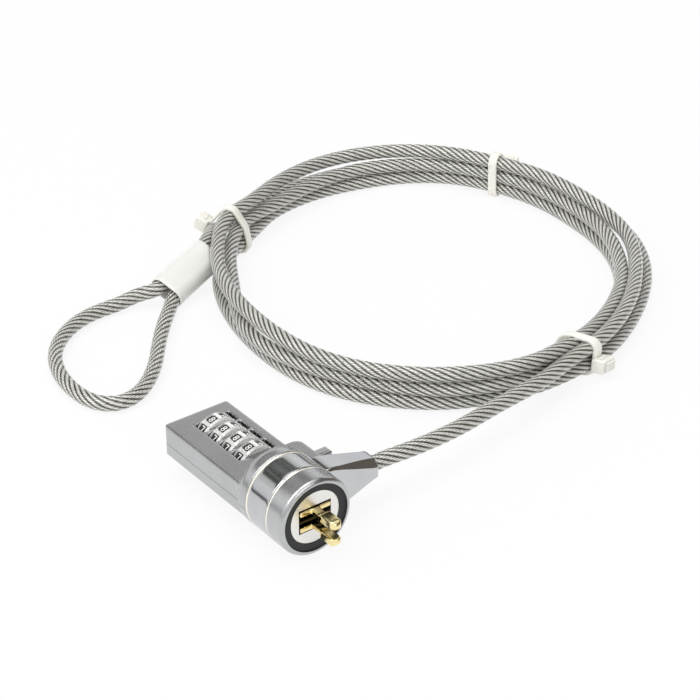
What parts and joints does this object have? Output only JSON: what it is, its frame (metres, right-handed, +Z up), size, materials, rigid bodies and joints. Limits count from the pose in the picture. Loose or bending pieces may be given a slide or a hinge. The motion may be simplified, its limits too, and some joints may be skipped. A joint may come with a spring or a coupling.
{
  "type": "laptop cable lock",
  "caption": "Number-dial lock head with a swivelling cable arm, push button and two latching claws, on a coiled coated steel cable that ends in a crimped eye.",
  "frame": {"origin": "centre of the bottom of the lock head's bounding box, cable left out; the barrel rests on z = 0", "axes": "+Y along the barrel axis from the claws to the rear of the dial housing, +X towards the cable arm and the button, +Z up"},
  "size_m": [0.1743, 0.158, 0.02],
  "materials": {
    "satin_chrome": "satin plated zinc casting",
    "bright_chrome": "polished plating",
    "machined_steel": "turned steel",
    "spring_steel": "spring wire and strip",
    "brass": "machined brass, lightly polished",
    "black_rubber": "matt moulded rubber",
    "coated_cable": "clear plastic over twisted steel wire",
    "ferrule_metal": "pressed oval crimp",
    "white_sleeve": "smooth white plastic tube",
    "nylon": "milky natural nylon"
  },
  "bodies": {
    "head": {"upper_shell": "satin_chrome", "lower_shell": "satin_chrome", "shell_pins": "machined_steel", "front_ring": "satin_chrome", "rubber_ring": "black_rubber", "face_disc": "bright_chrome", "barrel_core": "machined_steel", "front_washer": "bright_chrome", "rear_washer": "bright_chrome", "claw_pins": "machined_steel", "claw_spring": "spring_steel", "button_spring": "spring_steel", "spindle": "brass", "spindle_spring": "spring_steel", "detent_spring": "spring_steel", "cable_lead": "coated_cable", "cable_coil": "coated_cable", "cable_tail": "coated_cable", "cable_eye": "coated_cable", "ferrule": "ferrule_metal", "ferrule_sleeve": "white_sleeve", "tie_left": "nylon", "tie_back": "nylon", "tie_right": "nylon"},
    "collar": {"swivel_collar": "satin_chrome", "cable_stop": "machined_steel"},
    "claw_upper": {"claw_upper": "brass"},
    "claw_lower": {"claw_lower": "brass"},
    "button": {"push_button": "satin_chrome", "button_slider": "machined_steel"},
    "reset": {"reset_screw": "machined_steel"},
    "dial_1": {"dial_1": "bright_chrome", "code_sleeve_1": "brass"},
    "dial_2": {"dial_2": "bright_chrome", "code_sleeve_2": "brass"},
    "dial_3": {"dial_3": "bright_chrome", "code_sleeve_3": "brass"},
    "dial_4": {"dial_4": "bright_chrome", "code_sleeve_4": "brass"}
  },
  "joints": [
    {"name": "collar_swivel", "type": "hinge", "parent": "head", "child": "collar", "pos_m": [-0.0065, -0.01055, 0.01], "axis": [0, -1, 0], "continuous": true, "deforming": ["cable_lead"]},
    {"name": "button_press", "type": "slide", "parent": "head", "child": "button", "axis": [-1, 0, 0], "range_m": [0, 0.003], "stiffness_N_per_m": 200, "springref_m": -0.002, "deforming": ["button_spring", "claw_spring"]},
    {"name": "claw_upper_hinge", "type": "hinge", "parent": "head", "child": "claw_upper", "pos_m": [-0.0065, -0.0176, 0.0119], "axis": [-1, 0, 0], "range_deg": [0, 8]},
    {"name": "claw_lower_hinge", "type": "hinge", "parent": "head", "child": "claw_lower", "pos_m": [-0.0065, -0.0176, 0.0081], "axis": [1, 0, 0], "range_deg": [0, 8]},
    {"name": "dial_1_turn", "type": "hinge", "parent": "head", "child": "dial_1", "pos_m": [-0.0048, 0.007, 0.00945], "axis": [0, 1, 0], "continuous": true},
    {"name": "dial_2_turn", "type": "hinge", "parent": "head", "child": "dial_2", "pos_m": [-0.0048, 0.012, 0.00945], "axis": [0, 1, 0], "continuous": true},
    {"name": "dial_3_turn", "type": "hinge", "parent": "head", "child": "dial_3", "pos_m": [-0.0048, 0.017, 0.00945], "axis": [0, 1, 0], "continuous": true},
    {"name": "dial_4_turn", "type": "hinge", "parent": "head", "child": "dial_4", "pos_m": [-0.0048, 0.022, 0.00945], "axis": [0, 1, 0], "continuous": true},
    {"name": "reset_turn", "type": "hinge", "parent": "head", "child": "reset", "pos_m": [-0.0111, 0.0272, 0.00945], "axis": [0, 1, 0], "range_deg": [0, 90]}
  ],
  "couplings": [
    {"joint": "claw_upper_hinge", "follows": "button_press", "rad_per_m": 46.5},
    {"joint": "claw_lower_hinge", "follows": "button_press", "rad_per_m": 46.5}
  ]
}
